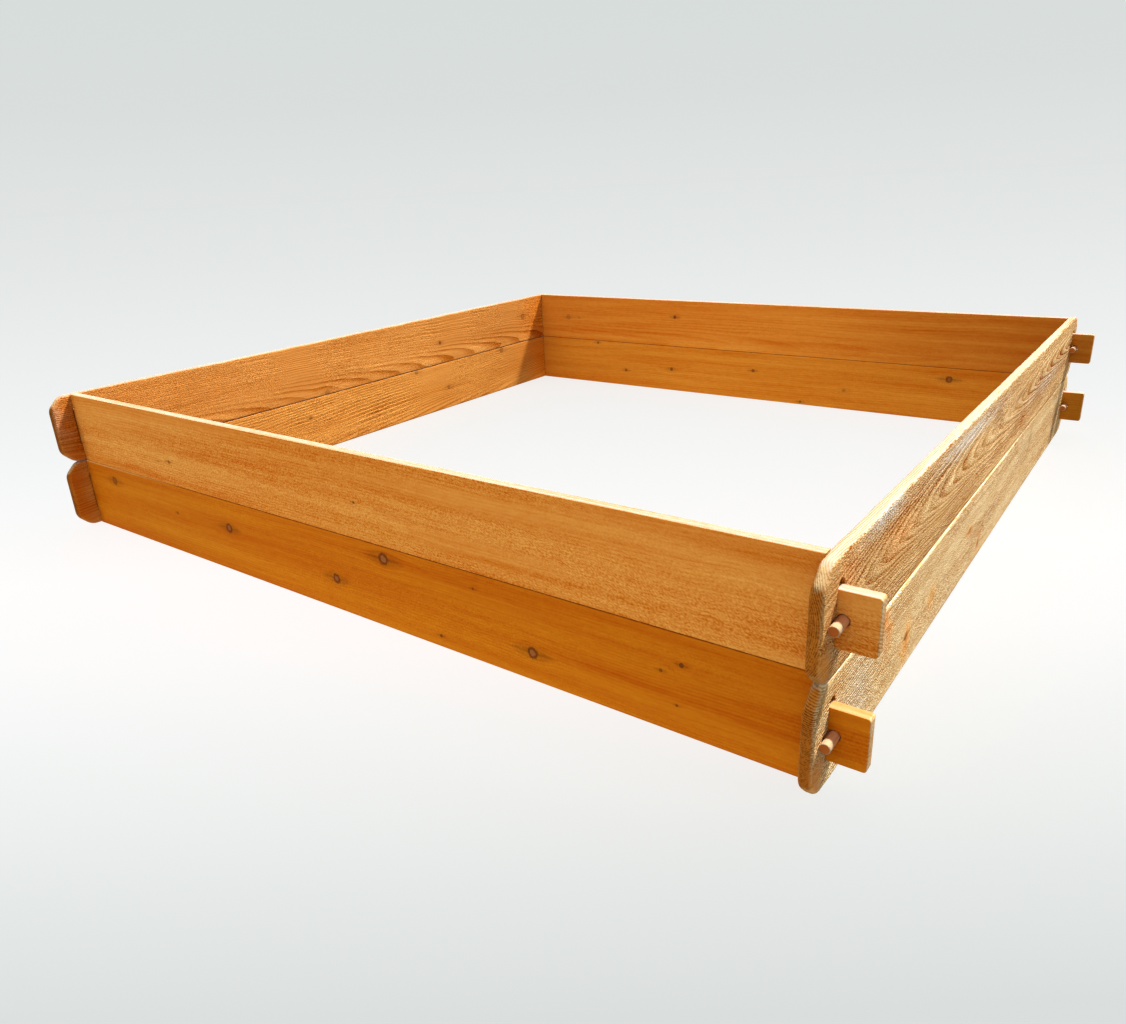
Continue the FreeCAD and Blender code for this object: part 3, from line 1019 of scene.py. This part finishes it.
def peg_mesh(name, seed):
    """A peg along x, very slightly out of round, and its points."""
    u, r = peg_profile()
    angles = np.linspace(0, 2 * math.pi, PEG_SEGMENTS, endpoint=False)
    points = np.array([(x, radius * math.cos(a), radius * math.sin(a))
                       for x, radius in zip(u, r) for a in angles])
    wobble = 1 - 0.01 * np.abs(noise(seed, points[:, 0] / 0.012, np.tile(np.cos(angles), len(u)),
                                      np.tile(np.sin(angles), len(u))))
    points[:, 1:] *= wobble[:, None]
    mesh = tube(name, points.tolist(), PEG_SEGMENTS)
    write_attribute(mesh, "fibre_at", "FLOAT_VECTOR", points + seed)
    from_end = PEG_LENGTH / 2 - np.abs(points[:, 0])
    write_attribute(mesh, "end_grain", "FLOAT", (from_end < 1e-5).astype(float))
    write_attribute(mesh, "painted_light_tip", "FLOAT", 1 - smooth(PEG_PAINTED_LIGHT_REACH, PEG_PAINTED_LIGHT_REACH + 0.001, from_end))
    return mesh, points


PIECES = []


def add_piece(name, mesh, body, node, slot):
    """Links a finished mesh as a piece that stands for its CAD node."""
    mesh.materials.clear()
    mesh.materials.append(MATERIALS[slot])
    piece = add_object(name, mesh)
    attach(piece, body)
    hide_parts(node)
    PIECES.append(piece)


def add_boards():
    """The eight boards, with mortises in the side boards and peg holes in the tenons."""
    for board in BOARDS:
        slot = "rough_sawn_cedar" if board.rough else "planed_cedar"
        centre, outline = (TENON_BOARD_Y, mortise_outline) if board.rough else (PEG_X, hole_outline)
        mesh = make_mesh(board.node, *build_board(board))
        mesh = cut(mesh, [cutter(sign * centre, outline) for sign in (-1, 1)])
        finish_board(board, mesh)
        add_piece(board.node + "_wood", mesh, board.tier + "_tier", board.node, slot)


def add_pegs():
    """The eight pegs, each level through its tenon and seeded by its place in the list."""
    for seed, (tier, end, side) in enumerate(itertools.product(TIERS, ENDS, SIDES), FIRST_PEG_SEED):
        node = f"{tier}_{end}_{side}_peg"
        low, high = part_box(node)
        mesh, points = peg_mesh(node, seed)
        turned = np.column_stack([-points[:, 1], points[:, 0], points[:, 2]])
        settle(mesh, turned + np.array((low + high) / 2))
        add_piece(node + "_wood", mesh, node, node, "peg_wood")


# ---------------- camera, light and floor
CAMERA_AT = Vector((1.0522, -1.5748, 0.64))
CAMERA_YAW = math.radians(-37.27)
CAMERA_PITCH = math.radians(-21.15)
CAMERA_ROLL = math.radians(-2.85)
CAMERA_LENS_MM = 27.43
CAMERA_SENSOR_MM = 36.0
KEY_FROM = Vector((0.35, 1.0, 1.63))
KEY_STRENGTH = 11.5
KEY_COLOUR = (1.0, 0.95, 0.87)
KEY_ANGLE = 6.0                         # degrees across, which softens the shadows
FILL_FROM = Vector((0.0, -1.0, 1.0))
FILL_STRENGTH = 1.07
FILL_ANGLE = 60.0
WHITE = (1.0, 1.0, 1.0)

FLOOR_REACH = 60.0
FLOOR_FADE_ALONG = (-0.6, 0.8, 0.0)     # the floor fades this way, fast in front and slowly behind
FLOOR_FADE_FROM = 1.89                  # in front of the middle of the bed
FLOOR_NEAREST = 0.3                     # the fade stays even nearer than this
FLOOR_MATT = 0.35                       # the share that takes light, and the rest glows
FLOOR_GLOW = 1.35
# The floor's colour by half a metre over the distance, and the dome's by height.
FLOOR_STOPS = [(0.0, (0.745, 0.77, 0.762)), (0.05, (0.775, 0.8, 0.793)), (0.1, (0.815, 0.838, 0.832)),
               (0.25, (0.93, 0.945, 0.94)), (0.355, (1.0, 1.0, 1.0)), (0.445, (0.975, 0.98, 0.98)),
               (0.55, (0.905, 0.926, 0.92)), (0.77, (0.785, 0.817, 0.809)), (1.0, (0.7, 0.732, 0.727))]
DOME_STOPS = [(0.0, (0.745, 0.77, 0.762)), (0.08, (0.7, 0.735, 0.722)), (0.17, (0.68, 0.723, 0.708)),
              (0.3, (0.6, 0.62, 0.61)), (0.45, (0.3, 0.3, 0.3)), (1.0, (0.3, 0.3, 0.3))]


def add_camera():
    """A camera at the photograph's viewpoint: it looks down on the near right corner."""
    forward = Vector((math.sin(CAMERA_YAW) * math.cos(CAMERA_PITCH),
                      math.cos(CAMERA_YAW) * math.cos(CAMERA_PITCH), math.sin(CAMERA_PITCH)))
    level_right = forward.cross(Vector((0, 0, 1))).normalized()
    level_up = level_right.cross(forward)
    right = math.cos(CAMERA_ROLL) * level_right + math.sin(CAMERA_ROLL) * level_up
    up = math.cos(CAMERA_ROLL) * level_up - math.sin(CAMERA_ROLL) * level_right
    data = bpy.data.cameras.new("camera")
    data.lens = CAMERA_LENS_MM
    data.sensor_width = CAMERA_SENSOR_MM
    camera = add_object("camera", data)
    turn = Matrix((right, up, -forward)).transposed().to_4x4()
    camera.matrix_world = Matrix.Translation(CAMERA_AT) @ turn
    bpy.context.scene.camera = camera


def add_sun(name, source, strength, angle, colour):
    """A soft distant light for the object alone: the floor keeps its own glow."""
    data = bpy.data.lights.new(name, "SUN")
    data.energy = strength
    data.color = colour
    data.angle = math.radians(angle)
    sun = add_object(name, data)
    sun.rotation_euler = source.to_track_quat("Z", "Y").to_euler()
    lit = bpy.data.collections.new("lit_by_" + name)
    for piece in PIECES:
        lit.objects.link(piece)
    sun.light_linking.receiver_collection = lit


def add_lights():
    """A key light from behind and above, and a broad fill from the front."""
    add_sun("key", KEY_FROM, KEY_STRENGTH, KEY_ANGLE, KEY_COLOUR)
    add_sun("fill", FILL_FROM, FILL_STRENGTH, FILL_ANGLE, WHITE)


def add_floor():
    """A wide pale floor, brightest under the object, that mostly glows, so shadows on it stay faint."""
    mesh = bpy.data.meshes.new("floor")
    angles = np.linspace(0, 2 * math.pi, 96, endpoint=False)
    rim = [(FLOOR_REACH * math.cos(a), FLOOR_REACH * math.sin(a), 0.0) for a in angles]
    mesh.from_pydata(rim, [], [list(range(len(rim)))])
    s = Shader(bpy.data.materials.new("floor"))
    s.nodes.remove(s.nodes["Principled BSDF"])
    place = s.add("NewGeometry", "Position", {})
    away = s.vector("DOT_PRODUCT", place, FLOOR_FADE_ALONG, output="Value")
    away = s.math("MAXIMUM", s.plus(away, FLOOR_FADE_FROM), FLOOR_NEAREST)
    colour = s.ramp(s.math("DIVIDE", 0.5, away), FLOOR_STOPS)
    glow = s.add("Emission", 0, {"Color": colour, "Strength": FLOOR_GLOW})
    matt = s.add("BsdfDiffuse", 0, {"Color": colour})
    both = s.add("MixShader", 0, {"Fac": FLOOR_MATT, 1: glow, 2: matt})
    s.put(s.nodes["Material Output"].inputs["Surface"], both)
    mesh.materials.append(s.owner)
    add_object("floor", mesh)


def add_world():
    """A plain studio dome: pale at the horizon and darker overhead."""
    s = Shader(bpy.data.worlds.new("studio"))
    place = s.add("TexCoord", "Generated", {})
    colour = s.ramp(s.add("SeparateXYZ", "Z", {0: place}), DOME_STOPS)
    s.put(s.nodes["Background"].inputs["Color"], colour)
    bpy.context.scene.world = s.owner


add_boards()
add_pegs()
add_camera()
add_lights()
add_floor()
add_world()
bpy.context.scene.view_settings.view_transform = "Standard"
